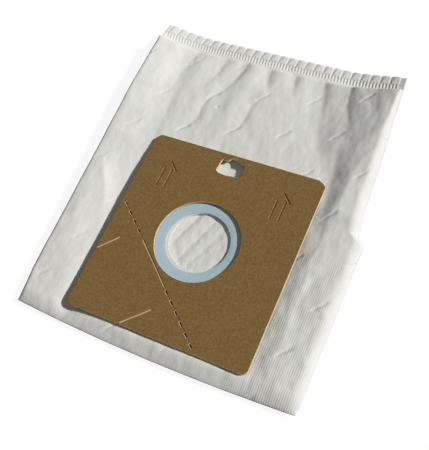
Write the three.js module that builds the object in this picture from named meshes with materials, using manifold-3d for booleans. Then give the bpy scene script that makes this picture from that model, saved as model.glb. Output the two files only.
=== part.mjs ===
// Disposable dust bag for a cylinder vacuum cleaner, lying flat with its cardboard collar up.
// Millimetres. The origin is on the ground under the middle of the bag, +X runs across the bag,
// +Y from its bottom fold to its welded seam, and +Z up through the inlet.
import * as THREE from 'three';
import { mergeVertices } from 'three/addons/utils/BufferGeometryUtils.js';
import Module from 'manifold-3d';

const wasm = await Module();
wasm.setup();

// Fleece bag: overall sizes
const bagLength = 250.5;
const bagWidth = 208.8;
const plyThickness = 0.8;
const dustGap = 4.4;
const foldRadius = 7;
const foldHeight = 3.2;
const foldEdge = 0.4;

// How far each side lies in from half the bag's width, at a share of the bag's length
const sideOutline = [
  { share: 0.00, left: 6.3, right: 2.1 },
  { share: 0.05, left: 5.7, right: 1.1 },
  { share: 0.11, left: 4.1, right: 1.3 },
  { share: 0.27, left: 3.1, right: 0.4 },
  { share: 0.43, left: 1.9, right: 0.1 },
  { share: 0.47, left: 1.7, right: 0.2 },
  { share: 0.50, left: 1.5, right: 3.8 },
  { share: 0.54, left: 1.3, right: 6.0 },
  { share: 0.59, left: 1.0, right: 7.5 },
  { share: 0.69, left: 0.7, right: 8.3 },
  { share: 0.75, left: 0.5, right: 9.0 },
  { share: 0.83, left: 1.3, right: 10.3 },
  { share: 0.91, left: 2.3, right: 11.2 },
  { share: 1.00, left: 4.6, right: 12.5 },
];
const bottomBow = 3.5;
const bowFade = 60;

// How finely the surfaces are divided
const acrossColumns = 34;
const underCardRows = 6;
const middleRows = 3;
const gatherRows = 8;
const circleSides = 54;
const cornerSides = 5;

// Collar card
const cardWidth = 130;
const cardLength = 140;
const cardThickness = 1.5;
const cardCorner = 5;
const cardToBottomFold = 12.75;
const cardFromMiddle = 3;
const cardHoleDiameter = 59;

// Locating notch in the card, measured from the card's middle and from its far edge
const notchWidth = 19;
const notchHeight = 11;
const notchOffset = -1.5;
const notchFromEdge = 2.4;
const notchTabWidth = 7;
const notchTabHeight = 2.6;
const notchTabSlant = 1;
const notchCorner = 1.6;

// Seal ring
const ringBore = 44;
const ringOverlap = 5;
const ringThickness = 0.8;
const ringBevel = 0.2;
const glueGap = 0.3;

// Inlet hole in the front panel, a little smaller than the ring's bore
const inletLip = 0.6;

// Welded seam: a row of fine weld ticks, then a row of scalloped tabs
const tabCount = 26;
const ticksPerTab = 3;
const tickLength = 6.5;
const tabLength = 6.5;
const tickDepth = 0.35;
const tickToTab = 0.6;
const tabCrown = 0.5;
const scallopDepth = 1.3;
const seamOverlap = 1.6;
const seamRise = 1.6;
const dustToSeam = 4;

// Curl of the two far corners
const leftCurl = 7.5;
const leftCurlReach = 38;
const rightCurl = 8;
const rightCurlReach = 42;
const curlPower = 1.5;
const curlStart = 100;

// Gathers that run down from the seam; each fade is from a start to an end, short of the seam
const gatherPitch = 21.3;
const gatherHeight = 1.1;
const gatherPhase = -2;
const gatherRise = { from: 62, to: 18 };
const gatherFall = { from: 12, to: 1 };
const seamTaper = 58;

// Swells of the front panel along the card's two sides. Each point gives how far out from the card's
// edge the crest lies, its place along the bag, its height there and its spread.
const leftSwell = [
  [20, -102, 0.5, 12],
  [14, -64, 1.5, 10],
  [9, -29, 2.3, 8],
  [13, 12, 1.5, 10],
  [19, 52, 0.7, 12],
];
const rightSwell = [
  [23, -104, 1.4, 12],
  [23, -58, 2.3, 14],
  [22, -18, 2.5, 14],
  [17, 12, 2.6, 11],
  [13, 37, 2.2, 9],
  [15, 64, 0.8, 9],
];
// The panel is pressed down where it comes out from under the card's far right corner
const cornerDip = [
  [-2, 48, -0.8, 8],
  [3, 22, -1.4, 6],
  [5, -2, -0.6, 5],
];

// Folds that run down from the seam between the quilting marks, as points on each crest, with its
// height and its spread there
const seamFolds = [
  [[-24, 108, 0.9, 6], [-30, 80, 1.3, 6], [-37, 64, 1.2, 6], [-39, 46, 0.9, 6], [-47, 32, 0.3, 6]],
  [[-2, 94, 0.8, 6], [-1, 58, 1.0, 6], [-14, 42, 0.4, 6]],
  [[63, 108, 1.2, 6], [67, 78, 1.3, 6], [65, 58, 0.8, 6]],
  [[-63, 106, 0.7, 7], [-65, 48, 0.5, 7]],
];

// Hollow of the front panel under the card's notch
const hollowDepth = 2.0;
const hollowSpread = 13;

// Flat seat of the front panel under the seal ring, and the slope round it
const seatMargin = 2;
const seatSlope = 10;

// Perforation, scores and pressed arrows on the card
const perforationWidth = 1.1;
const scoreWidth = 0.8;
const scoreDepth = 0.35;
const arrowLine = 1.0;
const cutMargin = 1;

// Where the tear line, the scores and the arrows lie, from the card's edges and its middle
const tearFromLeft = 3.5;
const tearStartY = 10.9;
const tearEndX = 29;
const tearFromBottom = 1.6;
const scoreFromEdge = 1.2;
const scoreFromBottom = 43.5;
const leftScoreRun = 11.4;
const scoreFromMiddle = -23.4;
const bottomScoreRun = 15.6;
const arrowFromEdge = 18.2;
const rightArrowFromSide = 24;
const leftArrowFromSide = 20.5;

// What follows from the sizes above
const bottomY = -bagLength / 2;
const seamY = bagLength / 2 - tabLength - tickLength;
const cardX = cardFromMiddle;
const cardY = bottomY + cardToBottomFold + cardLength / 2;
const panelThickness = 2 * plyThickness + dustGap;
const weldThickness = 2 * plyThickness;
const ringZ = panelThickness + glueGap;
const cardZ = ringZ + ringThickness;
const notchY = cardY + cardLength / 2 - notchFromEdge - notchTabHeight - notchHeight / 2;
const ringOuterRadius = cardHoleDiameter / 2 + ringOverlap;
const inletRadius = ringBore / 2 - inletLip;

const colours = { fleece: 0xdcdcd6, card: 0x8a6a42, ring: 0xa9bac6 };

function smooth(from, to, value) {
  return THREE.MathUtils.smoothstep(value, from, to);
}

function bump(distance, spread) {
  return Math.exp(-((distance / spread) ** 2));
}

// Left and right outline of the bag at a place along its length
const outline = new THREE.CubicInterpolant(
  sideOutline.map((station) => bottomY + station.share * bagLength),
  sideOutline.flatMap((station) => [
    -bagWidth / 2 + station.left,
    bagWidth / 2 - station.right,
  ]),
  2,
);

function sidesAt(y) {
  const [left, right] = outline.evaluate(y);
  return { left, right };
}

// The bottom fold bows out a little in the middle
function bottomAt(x) {
  return bottomY + bottomBow * ((2 * x) / bagWidth) ** 2;
}

// Height of the back panel above the ground: flat, but for the seam and the two curled corners
function lift(x, y) {
  const { left, right } = sidesAt(y);
  const along = smooth(seamY - curlStart, bagLength / 2, y);
  const curlLeft = leftCurl * Math.max(0, 1 - (x - left) / leftCurlReach) ** curlPower;
  const curlRight = rightCurl * Math.max(0, 1 - (right - x) / rightCurlReach) ** curlPower;
  return along * (curlLeft + curlRight) + seamRise * smooth(seamY - seamTaper, seamY, y);
}

// Crest of a swell along one side of the card: -1 for its left side, 1 for its right one
function besideCard(side, swell) {
  return swell.map(([out, y, height, spread]) => [cardX + side * (cardWidth / 2 + out), y, height, spread]);
}

const crests = [
  besideCard(-1, leftSwell),
  besideCard(1, rightSwell),
  besideCard(1, cornerDip),
  ...seamFolds,
];

// Height that one crest adds at a point: most on its line, less with the distance from it
function crestHeight(x, y, crest) {
  const point = new THREE.Vector3(x, y, 0);
  const line = new THREE.Line3();
  const nearest = new THREE.Vector3();
  let most = 0;
  for (let i = 1; i < crest.length; i += 1) {
    const [from, to] = [crest[i - 1], crest[i]];
    line.start.set(from[0], from[1], 0);
    line.end.set(to[0], to[1], 0);
    const share = line.closestPointToPointParameter(point, true);
    const distance = line.at(share, nearest).distanceTo(point);
    const height = THREE.MathUtils.lerp(from[2], to[2], share);
    const spread = THREE.MathUtils.lerp(from[3], to[3], share);
    const added = height * bump(distance, spread);
    if (Math.abs(added) > Math.abs(most)) most = added;
  }
  return most;
}

// Thickness of the puffed bag, from the outside of its back to the outside of its front
function puff(x, y) {
  const towardSeam = smooth(seamY - seamTaper, seamY, y);
  const rise = smooth(seamY - gatherRise.from, seamY - gatherRise.to, y);
  const fall = 1 - smooth(seamY - gatherFall.from, seamY - gatherFall.to, y);
  const gathers = gatherHeight * rise * fall * Math.cos((2 * Math.PI * (x - gatherPhase)) / gatherPitch);
  const folds = crests.reduce((sum, crest) => sum + crestHeight(x, y, crest), 0) * fall;
  const fromNotch = Math.hypot(x - cardX - notchOffset, y - notchY);
  const hollow = hollowDepth * bump(fromNotch, hollowSpread);
  const seatRadius = ringOuterRadius + seatMargin;
  const flatSeat = smooth(seatRadius, seatRadius + seatSlope, Math.hypot(x - cardX, y - cardY));
  const full = THREE.MathUtils.lerp(panelThickness, weldThickness, towardSeam);
  return full + flatSeat * (gathers + folds - hollow);
}

// A closed solid between an upper and a lower surface over the same grid. The lower surface is
// spanned by few faces over the block of cells that is named as flat.
function layerSolid(columns, rows, upper, lower, flat = { iFrom: 0, iTo: 0, jFrom: 0, jTo: 0 }) {
  const vertices = [];
  const triangles = [];
  const index = (layer, i, j) => layer * (columns + 1) * (rows + 1) + j * (columns + 1) + i;
  for (const surface of [lower, upper]) {
    for (let j = 0; j <= rows; j += 1) {
      for (let i = 0; i <= columns; i += 1) vertices.push(...surface(i, j));
    }
  }
  const inFlat = (i, j) => i >= flat.iFrom && i < flat.iTo && j >= flat.jFrom && j < flat.jTo;
  const quad = (a, b, c, d) => triangles.push(a, b, c, a, c, d);
  for (let j = 0; j < rows; j += 1) {
    for (let i = 0; i < columns; i += 1) {
      quad(index(1, i, j), index(1, i + 1, j), index(1, i + 1, j + 1), index(1, i, j + 1));
      if (inFlat(i, j)) continue;
      quad(index(0, i, j), index(0, i, j + 1), index(0, i + 1, j + 1), index(0, i + 1, j));
    }
  }
  for (let i = 0; i < columns; i += 1) {
    quad(index(0, i, 0), index(0, i + 1, 0), index(1, i + 1, 0), index(1, i, 0));
    quad(index(0, i + 1, rows), index(0, i, rows), index(1, i, rows), index(1, i + 1, rows));
  }
  for (let j = 0; j < rows; j += 1) {
    quad(index(0, 0, j + 1), index(0, 0, j), index(1, 0, j), index(1, 0, j + 1));
    quad(index(0, columns, j), index(0, columns, j + 1), index(1, columns, j + 1), index(1, columns, j));
  }
  const ring = ringOfBlock(flat, index);
  const corners = ring.map((k) => new THREE.Vector2(vertices[3 * k], vertices[3 * k + 1]));
  for (const [a, b, c] of THREE.ShapeUtils.triangulateShape(corners, [])) {
    triangles.push(ring[a], ring[c], ring[b]);
  }
  return solidFrom(vertices, triangles);
}

// The grid points round a block of the lower surface
function ringOfBlock({ iFrom, iTo, jFrom, jTo }, index) {
  const ring = [];
  for (let i = iFrom; i < iTo; i += 1) ring.push(index(0, i, jFrom));
  for (let j = jFrom; j < jTo; j += 1) ring.push(index(0, iTo, j));
  for (let i = iTo; i > iFrom; i -= 1) ring.push(index(0, i, jTo));
  for (let j = jTo; j > jFrom; j -= 1) ring.push(index(0, iFrom, j));
  return ring;
}

function solidFrom(vertices, triangles) {
  const mesh = new wasm.Mesh({
    numProp: 3,
    vertProperties: new Float32Array(vertices),
    triVerts: new Uint32Array(triangles),
  });
  return new wasm.Manifold(mesh);
}

function solidFromGeometry(geometry) {
  const bare = geometry.clone();
  bare.deleteAttribute('normal');
  bare.deleteAttribute('uv');
  const merged = mergeVertices(bare, 1e-4);
  return solidFrom(merged.attributes.position.array, merged.index.array);
}

function geometryFrom(solid) {
  const { vertProperties, triVerts, numProp } = solid.getMesh();
  const positions = new Float32Array((vertProperties.length / numProp) * 3);
  for (let i = 0; i < positions.length / 3; i += 1) {
    for (let k = 0; k < 3; k += 1) positions[3 * i + k] = vertProperties[numProp * i + k];
  }
  const geometry = new THREE.BufferGeometry();
  geometry.setAttribute('position', new THREE.BufferAttribute(positions, 3));
  geometry.setIndex(new THREE.BufferAttribute(new Uint32Array(triVerts), 1));
  geometry.computeVertexNormals();
  return geometry;
}

// Steps round a fold, close together at its edge, as shares of its radius
const foldSteps = [0, 0.13, 0.5];

// Even steps from one place to another, without the first
function evenSteps(from, to, count) {
  return Array.from({ length: count }, (_, k) => from + ((to - from) * (k + 1)) / count);
}

// Quarter-round profile of a fold: 0 at its edge, 1 once past its radius
function foldProfile(distance, radius) {
  const near = 1 - THREE.MathUtils.clamp(distance / radius, 0, 1);
  return Math.sqrt(1 - near * near);
}

// The puffed bag as one solid, drawn in by an inset all round; the seam end closes at endY
function pillow(inset, endY, edge) {
  const radius = foldRadius - inset;
  const startY = bottomY + inset;
  const curlY = seamY - curlStart;
  const taperY = seamY - seamTaper;
  const rowY = [
    ...foldSteps.map((share) => startY + share * radius),
    startY + radius,
    ...evenSteps(startY + radius, curlY, underCardRows),
    ...evenSteps(curlY, taperY, middleRows),
    ...evenSteps(taperY, endY, gatherRows),
  ];
  const last = foldSteps.length + acrossColumns + foldSteps.length;
  const fromLeft = (i, width) => {
    if (i < foldSteps.length) return foldSteps[i] * radius;
    if (i > last - foldSteps.length) return width - foldSteps[last - i] * radius;
    return THREE.MathUtils.mapLinear(i, foldSteps.length, last - foldSteps.length, radius, width - radius);
  };
  const surface = (top) => (i, j) => {
    const { left, right } = sidesAt(rowY[j]);
    const width = right - left - 2 * inset;
    const side = fromLeft(i, width);
    const x = left + inset + side;
    const y = rowY[j] + (bottomAt(x) - bottomY) * (1 - smooth(bottomY, bottomY + bowFade, rowY[j]));
    const round = foldProfile(Math.min(side, width - side), radius) * foldProfile(rowY[j] - startY, radius);
    const base = lift(x, y);
    const thick = puff(x, y);
    const middle = base + Math.min(foldHeight, thick / 2);
    const face = top ? base + thick - inset : base + inset;
    return [x, y, THREE.MathUtils.lerp(middle + (top ? edge : -edge) / 2, face, round)];
  };
  const flat = {
    iFrom: foldSteps.length,
    iTo: last - foldSteps.length,
    jFrom: foldSteps.length,
    jTo: foldSteps.length + underCardRows,
  };
  return layerSolid(last, rowY.length - 1, surface(true), surface(false), flat);
}

// The weld: fine ticks across the seam, then rounded tabs with a scalloped edge
function weldStrip() {
  const perTab = 2 * ticksPerTab;
  const columns = tabCount * perTab;
  const rows = [seamY - seamOverlap, seamY + tickLength - tickToTab, seamY + tickLength, bagLength / 2];
  const surface = (top) => (i, j) => {
    const inTab = (i % perTab) / perTab;
    const crown = Math.sin(Math.PI * inTab);
    const isTab = j >= 2;
    const half = isTab
      ? weldThickness / 2 - tickDepth / 2 + tabCrown * crown
      : weldThickness / 2 - (i % 2 ? 0 : tickDepth);
    const y = j === 3 ? rows[j] - scallopDepth * (1 - crown) ** 2 : rows[j];
    const { left, right } = sidesAt(rows[j]);
    const x = THREE.MathUtils.lerp(left + foldEdge, right - foldEdge, i / columns);
    return [x, y, lift(x, y) + weldThickness / 2 + (top ? half : -half)];
  };
  return layerSolid(columns, rows.length - 1, surface(true), surface(false));
}

function makeFleeceBag() {
  const outside = pillow(0, seamY, foldEdge);
  const dustSpace = pillow(plyThickness, seamY - dustToSeam, foldEdge / 2);
  const inlet = new THREE.CylinderGeometry(inletRadius, inletRadius, panelThickness, circleSides)
    .rotateX(Math.PI / 2)
    .translate(cardX, cardY, panelThickness);
  const solid = outside.add(weldStrip()).subtract(dustSpace).subtract(solidFromGeometry(inlet));
  return geometryFrom(solid);
}

// Outline of the card's notch: a rectangle with a small tab in its far side
function notchPath() {
  const right = notchOffset + notchWidth / 2;
  const left = notchOffset - notchWidth / 2;
  const far = cardLength / 2 - notchFromEdge - notchTabHeight;
  const near = far - notchHeight;
  const tabRight = notchOffset + notchTabWidth / 2;
  const tabLeft = notchOffset - notchTabWidth / 2;
  const path = new THREE.Path();
  path.moveTo(left + notchCorner, near);
  path.lineTo(right - notchCorner, near);
  path.quadraticCurveTo(right, near, right, near + notchCorner);
  path.lineTo(right, far - notchCorner);
  path.quadraticCurveTo(right, far, right - notchCorner, far);
  path.lineTo(tabRight, far);
  path.lineTo(tabRight - notchTabSlant, far + notchTabHeight);
  path.lineTo(tabLeft + notchTabSlant, far + notchTabHeight);
  path.lineTo(tabLeft, far);
  path.lineTo(left + notchCorner, far);
  path.quadraticCurveTo(left, far, left, far - notchCorner);
  path.lineTo(left, near + notchCorner);
  path.quadraticCurveTo(left, near, left + notchCorner, near);
  return path;
}

function cardOutline() {
  const halfWidth = cardWidth / 2;
  const halfLength = cardLength / 2;
  const shape = new THREE.Shape();
  shape.absarc(halfWidth - cardCorner, halfLength - cardCorner, cardCorner, 0, Math.PI / 2);
  shape.absarc(cardCorner - halfWidth, halfLength - cardCorner, cardCorner, Math.PI / 2, Math.PI);
  shape.absarc(cardCorner - halfWidth, cardCorner - halfLength, cardCorner, Math.PI, 1.5 * Math.PI);
  shape.absarc(halfWidth - cardCorner, cardCorner - halfLength, cardCorner, 1.5 * Math.PI, 2 * Math.PI);
  shape.closePath();
  return shape;
}

// A bar laid between two points of the card's plane, from a depth below its face to above it
function bar([x0, y0], [x1, y1], width, depth) {
  const length = Math.hypot(x1 - x0, y1 - y0);
  const height = depth + cutMargin;
  const box = new THREE.BoxGeometry(length, width, height);
  box.rotateZ(Math.atan2(y1 - y0, x1 - x0));
  box.translate((x0 + x1) / 2, (y0 + y1) / 2, cardThickness - depth + height / 2);
  return solidFromGeometry(box);
}

function pointBetween([x0, y0], [x1, y1], share) {
  return [THREE.MathUtils.lerp(x0, x1, share), THREE.MathUtils.lerp(y0, y1, share)];
}

// The tear line crosses the card: perforated at both ends, scored in between
const tearLine = {
  start: [tearFromLeft - cardWidth / 2, tearStartY],
  end: [tearEndX, tearFromBottom - cardLength / 2],
};
const perforatedStretches = [
  { from: 0.0, to: 0.27, holes: 4, filled: 0.45 },
  { from: 0.62, to: 1.015, holes: 6, filled: 0.42 },
];
const scoredStretch = { from: 0.29, to: 0.6 };
const leftScore = [scoreFromEdge - cardWidth / 2, scoreFromBottom - cardLength / 2];
const bottomScore = [scoreFromMiddle, scoreFromEdge - cardLength / 2];
const shortScores = [
  [leftScore, [leftScore[0] + leftScoreRun, leftScore[1] + leftScoreRun]],
  [bottomScore, [bottomScore[0] + bottomScoreRun, bottomScore[1] + bottomScoreRun]],
];

// Arrow that points to the notch: a two-line shaft under an open head
const arrow = { shaft: 15.6, shaftGap: 6, headWidth: 14, headHeight: 7, shaftDrop: 2.4 };
const arrowTipY = cardLength / 2 - arrowFromEdge;
const arrowTips = [
  [cardWidth / 2 - rightArrowFromSide, arrowTipY],
  [leftArrowFromSide - cardWidth / 2, arrowTipY],
];

function arrowBars([x, y]) {
  const { shaft, shaftGap, headWidth, headHeight, shaftDrop } = arrow;
  const shaftTop = y - headHeight * (shaftGap / headWidth) - shaftDrop;
  const shaftLine = (side) => [[x + side, shaftTop], [x + side, shaftTop - shaft]];
  return [
    [[x, y], [x - headWidth / 2, y - headHeight]],
    [[x, y], [x + headWidth / 2, y - headHeight]],
    shaftLine(-shaftGap / 2),
    shaftLine(shaftGap / 2),
  ];
}

function makeCollarCard() {
  const shape = cardOutline();
  const hole = new THREE.Path().absarc(0, 0, cardHoleDiameter / 2, 0, 2 * Math.PI, true);
  shape.holes.push(new THREE.Path(hole.getSpacedPoints(circleSides)));
  shape.holes.push(notchPath());
  const board = new THREE.ExtrudeGeometry(shape, {
    depth: cardThickness,
    bevelEnabled: false,
    curveSegments: cornerSides,
  });
  let solid = solidFromGeometry(board);
  for (const { from, to, holes, filled } of perforatedStretches) {
    for (let k = 0; k < holes; k += 1) {
      const step = (to - from) / holes;
      const start = pointBetween(tearLine.start, tearLine.end, from + step * k);
      const end = pointBetween(tearLine.start, tearLine.end, from + step * (k + filled));
      solid = solid.subtract(bar(start, end, perforationWidth, cardThickness + cutMargin));
    }
  }
  const { from, to } = scoredStretch;
  const scores = [
    [pointBetween(tearLine.start, tearLine.end, from), pointBetween(tearLine.start, tearLine.end, to)],
    ...shortScores,
  ];
  for (const [start, end] of scores) solid = solid.subtract(bar(start, end, scoreWidth, scoreDepth));
  for (const [start, end] of arrowTips.flatMap(arrowBars)) {
    solid = solid.subtract(bar(start, end, arrowLine, scoreDepth));
  }
  return geometryFrom(solid);
}

function makeSealRing() {
  const inner = ringBore / 2;
  const outer = ringOuterRadius;
  const profile = [
    [inner, ringBevel],
    [inner + ringBevel, 0],
    [outer, 0],
    [outer, ringThickness],
    [inner + ringBevel, ringThickness],
    [inner, ringThickness - ringBevel],
    [inner, ringBevel],
  ].map(([x, y]) => new THREE.Vector2(x, y));
  const turned = new THREE.LatheGeometry(profile, circleSides).rotateX(Math.PI / 2);
  return geometryFrom(solidFromGeometry(turned));
}

function part(name, geometry, color, roughness) {
  const material = new THREE.MeshStandardMaterial({ color, roughness, metalness: 0 });
  const mesh = new THREE.Mesh(geometry, material);
  mesh.name = name;
  return mesh;
}

const dustBag = new THREE.Group();
const bag = part('fleece_bag', makeFleeceBag(), colours.fleece, 0.95);
const ring = part('seal_ring', makeSealRing(), colours.ring, 0.6);
ring.position.set(cardX, cardY, ringZ);
const card = part('collar_card', makeCollarCard(), colours.card, 0.85);
card.position.set(cardX, cardY, cardZ);
dustBag.add(bag, ring, card);

export default dustBag;
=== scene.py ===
"""Looks of a vacuum cleaner's fleece dust bag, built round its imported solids.

The bag lies flat with its cardboard collar up. Sizes are in millimetres in the object's own frame: the origin
is on the ground under the middle of the bag, +X across it, +Y from the bottom fold to the welded seam.
"""

import logging
import math
from dataclasses import dataclass, field
from enum import Enum, IntEnum

import bmesh
import bpy
import numpy as np
from mathutils import Matrix, Vector, noise


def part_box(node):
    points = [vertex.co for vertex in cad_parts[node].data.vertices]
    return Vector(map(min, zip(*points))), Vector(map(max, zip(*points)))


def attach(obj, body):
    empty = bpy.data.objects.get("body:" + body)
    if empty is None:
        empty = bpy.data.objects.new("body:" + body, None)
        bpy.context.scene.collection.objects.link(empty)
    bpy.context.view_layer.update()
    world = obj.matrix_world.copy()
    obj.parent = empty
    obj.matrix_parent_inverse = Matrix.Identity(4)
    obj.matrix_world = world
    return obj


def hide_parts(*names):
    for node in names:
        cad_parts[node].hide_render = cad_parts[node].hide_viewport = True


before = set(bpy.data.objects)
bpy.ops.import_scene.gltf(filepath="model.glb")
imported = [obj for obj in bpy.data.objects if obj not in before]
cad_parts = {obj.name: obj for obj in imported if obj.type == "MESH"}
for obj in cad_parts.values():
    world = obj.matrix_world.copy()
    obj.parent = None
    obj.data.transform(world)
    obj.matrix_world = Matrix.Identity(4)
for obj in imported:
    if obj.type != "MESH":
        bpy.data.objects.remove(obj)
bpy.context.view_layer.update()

log = logging.getLogger("dust_bag")

MM = 0.001
BODY = "root"

Array = np.ndarray
Point = tuple[float, float]
Triple = tuple[float, float, float]
# Points on a crest or a crease: place across, place along, height or depth, spread
Crest = tuple[tuple[float, float, float, float], ...]
# Rows of a shelf: place along, where its rise starts and ends across, height
Shelf = tuple[tuple[float, float, float, float], ...]

# How far the hole in the card and the ring lie off the middle of their solids
HOLE_SHIFT: Point = (-0.7, 0.6)


class Finish(Enum):
    """Names of the record's material slots for the three pieces; nothing in the script reads them."""

    FLEECE = "fleece"
    BOARD = "kraft_board"
    SEAL = "seal"


class BoardFinish(IntEnum):
    """Places of the two finishes in the card's list of materials."""

    FACE = 0
    CUT = 1


class Skin(Enum):
    """The skins of the folded tube, from the outside in.

    Each has its cells across and along, then the cuts that divide the cells of its border at the sides, at the
    bottom fold and at the seam, so that a coarse skin meets a fine one point by point.
    """

    FRONT = (234, 300, 0, 0, 1)
    BACK = (78, 75, 3, 2, 5)
    FRONT_LINING = (39, 25, 2, 1, 1)
    BACK_LINING = (78, 75, 0, 0, 0)

    def __init__(self, across: int, along: int, side_cuts: int, near_cuts: int, far_cuts: int) -> None:
        """Keeps the counts of one skin under their names.

        Args:
            across: Cells across the bag.
            along: Cells along the bag.
            side_cuts: Cuts in each cell's edge at the two sides.
            near_cuts: Cuts in each cell's edge at the bottom fold.
            far_cuts: Cuts in each cell's edge at the seam.
        """
        self.across = across
        self.along = along
        self.side_cuts = side_cuts
        self.near_cuts = near_cuts
        self.far_cuts = far_cuts

    @property
    def is_lining(self) -> bool:
        """True for the inner skins."""
        return self in (Skin.FRONT_LINING, Skin.BACK_LINING)

    @property
    def is_front(self) -> bool:
        """True for the skins of the upper panel."""
        return self in (Skin.FRONT, Skin.FRONT_LINING)


def smooth(start: float, end: float, value: Array) -> Array:
    """Eases from 0 at the start to 1 at the end.

    Args:
        start: Value at which the result is 0.
        end: Value at which the result is 1.
        value: Where to evaluate it.

    Returns:
        The eased share, from 0 to 1.
    """
    share = np.clip((value - start) / (end - start), 0.0, 1.0)
    return share * share * (3.0 - 2.0 * share)


def bump(distance: Array, spread: Array) -> Array:
    """Returns a bell that is 1 at no distance and falls off with the spread."""
    return np.exp(-((distance / spread) ** 2))


def mix(low: Array, high: Array, share: Array) -> Array:
    """Returns the value at a share of the way from low to high."""
    return low + (high - low) * share


def quarter_round(distance: Array, radius: Array) -> Array:
    """Returns the height of a quarter circle: 0 at its edge, 1 once past its radius."""
    near = 1.0 - np.clip(distance / radius, 0.0, 1.0)
    return np.sqrt(1.0 - near * near)


def pressed_fold(distance: Array, radius: Array) -> Array:
    """Returns the height of a pressed fold: partly round at its edge, partly a slope."""
    near = np.clip(distance / radius, 0.0, 1.0)
    return 0.5 * quarter_round(distance, radius) + 0.5 * np.sin(0.5 * math.pi * near)


def linear_colour(code: str) -> tuple[float, float, float, float]:
    """Turns an sRGB hex colour into the linear colour that a shader takes.

    Args:
        code: Six hex digits after a hash sign.

    Returns:
        Red, green, blue and an alpha of 1.
    """
    channels = []
    for start in (1, 3, 5):
        value = int(code[start:start + 2], 16) / 255.0
        channels.append(value / 12.92 if value <= 0.04045 else ((value + 0.055) / 1.055) ** 2.4)
    return channels[0], channels[1], channels[2], 1.0


def add_node(tree: bpy.types.NodeTree, kind: str, settings: dict, inputs: dict) -> bpy.types.Node:
    """Adds one node with its settings, and fills or links its sockets.

    Args:
        tree: Node tree that gets the node.
        kind: Blender's name for the node's type.
        settings: Properties of the node.
        inputs: Values for its sockets, by name or index; a socket as a value is linked.

    Returns:
        The new node.
    """
    node = tree.nodes.new(kind)
    for name, value in settings.items():
        setattr(node, name, value)
    for name, value in inputs.items():
        if isinstance(value, bpy.types.NodeSocket):
            tree.links.new(value, node.inputs[name])
        else:
            node.inputs[name].default_value = value
    return node


def empty_material(name: str) -> tuple[bpy.types.Material, bpy.types.NodeTree]:
    """Makes a new material without nodes.

    Args:
        name: Name of the material.

    Returns:
        The material and its empty node tree.
    """
    material = bpy.data.materials.new(name)
    material.use_nodes = True
    material.node_tree.nodes.clear()
    return material, material.node_tree


def cells(size: float, stretch: float = 1.0) -> Triple:
    """Turns the size of a pattern's cells into how many of them fill a metre.

    Args:
        size: Size of a cell in millimetres.
        stretch: Share of that number along the bag, under 1 where the cells are longer that way.

    Returns:
        Cells for each metre along X, Y and Z.
    """
    per_metre = 1.0 / (size * MM)
    return per_metre, stretch * per_metre, per_metre


def object_point(tree: bpy.types.NodeTree, scale: Triple) -> bpy.types.NodeSocket:
    """Returns the place on the object, in cells of a pattern.

    Args:
        tree: Node tree of the material.
        scale: Cells of the pattern for each metre along X, Y and Z.

    Returns:
        The socket with the scaled place.
    """
    place = add_node(tree, "ShaderNodeTexCoord", {}, {})
    mapping = add_node(tree, "ShaderNodeMapping", {}, {"Vector": place.outputs["Object"], "Scale": scale})
    return mapping.outputs["Vector"]


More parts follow.
